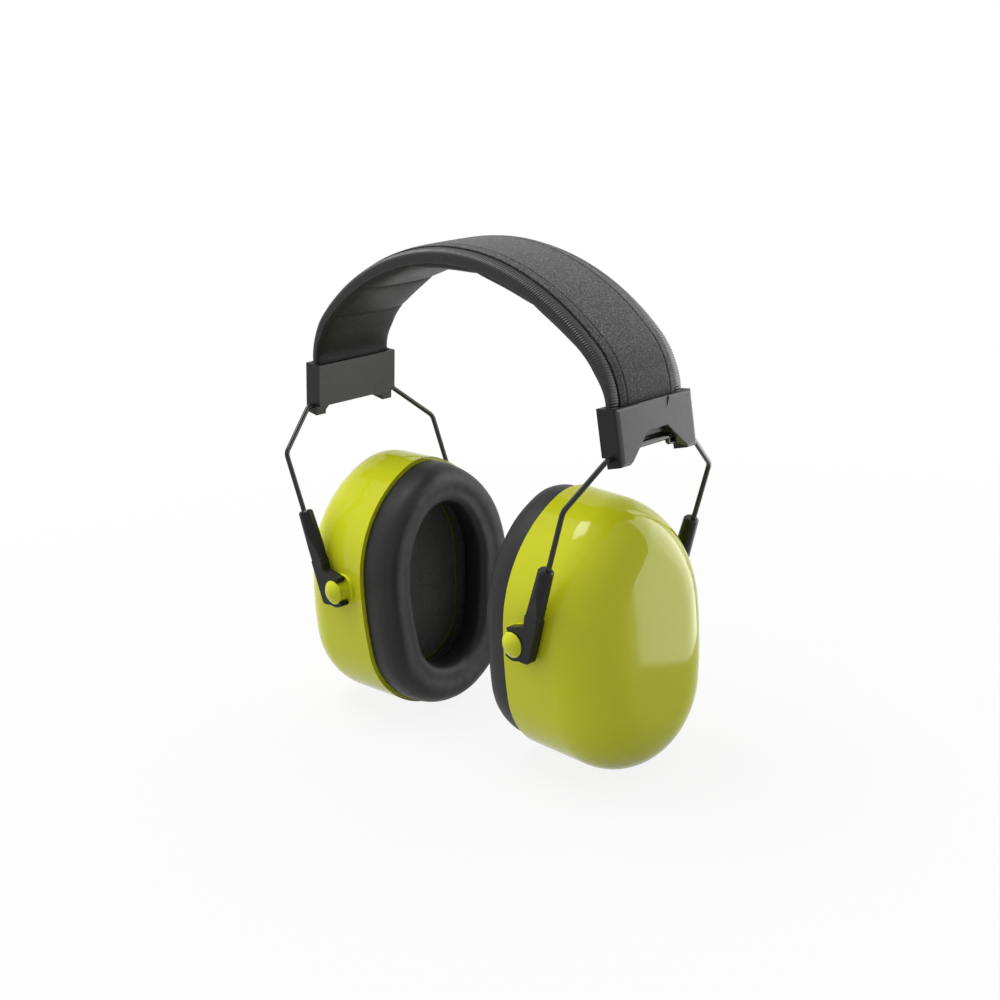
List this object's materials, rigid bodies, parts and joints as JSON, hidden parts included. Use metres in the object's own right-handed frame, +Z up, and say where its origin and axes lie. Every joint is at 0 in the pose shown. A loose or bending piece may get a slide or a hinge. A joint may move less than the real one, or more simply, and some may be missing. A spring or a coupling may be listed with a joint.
{
  "type": "hearing protection earmuffs",
  "caption": "Over-the-head passive earmuffs: two glossy oval cups with soft cushions, hung on bent wire bails from a padded, sewn headband.",
  "frame": {"origin": "midway between the ears, on the axis through the cup pivots", "axes": "X from ear to ear with the right_ nodes on +X as seen from the front, Y fore and aft with the front_ nodes on -Y, Z up towards the headband's crown"},
  "size_m": [0.1753, 0.0902, 0.1964],
  "materials": {
    "lime_plastic": "glossy moulded lime yellow ABS",
    "black_plastic": "satin moulded black nylon",
    "grey_plastic": "satin mid grey moulded plastic",
    "bail_wire": "glossy blackened spring wire",
    "spring_steel": "plain spring steel",
    "band_fabric": "fine-grained dark grey woven cover",
    "band_leatherette": "soft charcoal leatherette",
    "cushion_skin": "matt charcoal PVC skin",
    "soft_foam": "open-cell foam",
    "liner_foam": "dark open-cell sound-absorbing foam"
  },
  "bodies": {
    "headband": {"headband_spring_strip": "spring_steel", "headband_foam": "soft_foam", "headband_outer_cover": "band_fabric", "headband_inner_cover": "band_leatherette", "headband_front_edge_roll": "band_leatherette", "headband_rear_edge_roll": "band_leatherette", "right_bracket": "grey_plastic", "left_bracket": "grey_plastic", "right_strip_anchor": "black_plastic", "left_strip_anchor": "black_plastic", "right_strip_rivets": "spring_steel", "left_strip_rivets": "spring_steel"},
    "right_bail": {"right_wire_bail": "bail_wire"},
    "right_arms": {"right_front_arm": "black_plastic", "right_rear_arm": "black_plastic"},
    "right_cup": {"right_cup_shell": "lime_plastic", "right_front_pivot_button": "lime_plastic", "right_rear_pivot_button": "lime_plastic", "right_cushion_plate": "black_plastic", "right_ear_cushion_skin": "cushion_skin", "right_ear_cushion_foam": "soft_foam", "right_foam_liner": "liner_foam", "right_liner_trim_ring": "lime_plastic"},
    "left_bail": {"left_wire_bail": "bail_wire"},
    "left_arms": {"left_front_arm": "black_plastic", "left_rear_arm": "black_plastic"},
    "left_cup": {"left_cup_shell": "lime_plastic", "left_front_pivot_button": "lime_plastic", "left_rear_pivot_button": "lime_plastic", "left_cushion_plate": "black_plastic", "left_ear_cushion_skin": "cushion_skin", "left_ear_cushion_foam": "soft_foam", "left_foam_liner": "liner_foam", "left_liner_trim_ring": "lime_plastic"}
  },
  "joints": [
    {"name": "right_bail_swing", "type": "hinge", "parent": "headband", "child": "right_bail", "pos_m": [0.08218, 0, 0.06892], "axis": [0, 1, 0], "range_deg": [-5, 6]},
    {"name": "right_height_slide", "type": "slide", "parent": "right_bail", "child": "right_arms", "axis": [0.342, 0, 0.9397], "range_m": [-0.013, 0.012]},
    {"name": "right_cup_tilt", "type": "hinge", "parent": "right_arms", "child": "right_cup", "pos_m": [0.0505, 0, 0], "axis": [0, -1, 0], "range_deg": [-5.8, 14.2]},
    {"name": "left_bail_swing", "type": "hinge", "parent": "headband", "child": "left_bail", "pos_m": [-0.08218, 0, 0.06892], "axis": [0, -1, 0], "range_deg": [-5, 6]},
    {"name": "left_height_slide", "type": "slide", "parent": "left_bail", "child": "left_arms", "axis": [-0.342, 0, 0.9397], "range_m": [-0.013, 0.012]},
    {"name": "left_cup_tilt", "type": "hinge", "parent": "left_arms", "child": "left_cup", "pos_m": [-0.0505, 0, 0], "axis": [0, 1, 0], "range_deg": [-10.7, 9.3]}
  ]
}
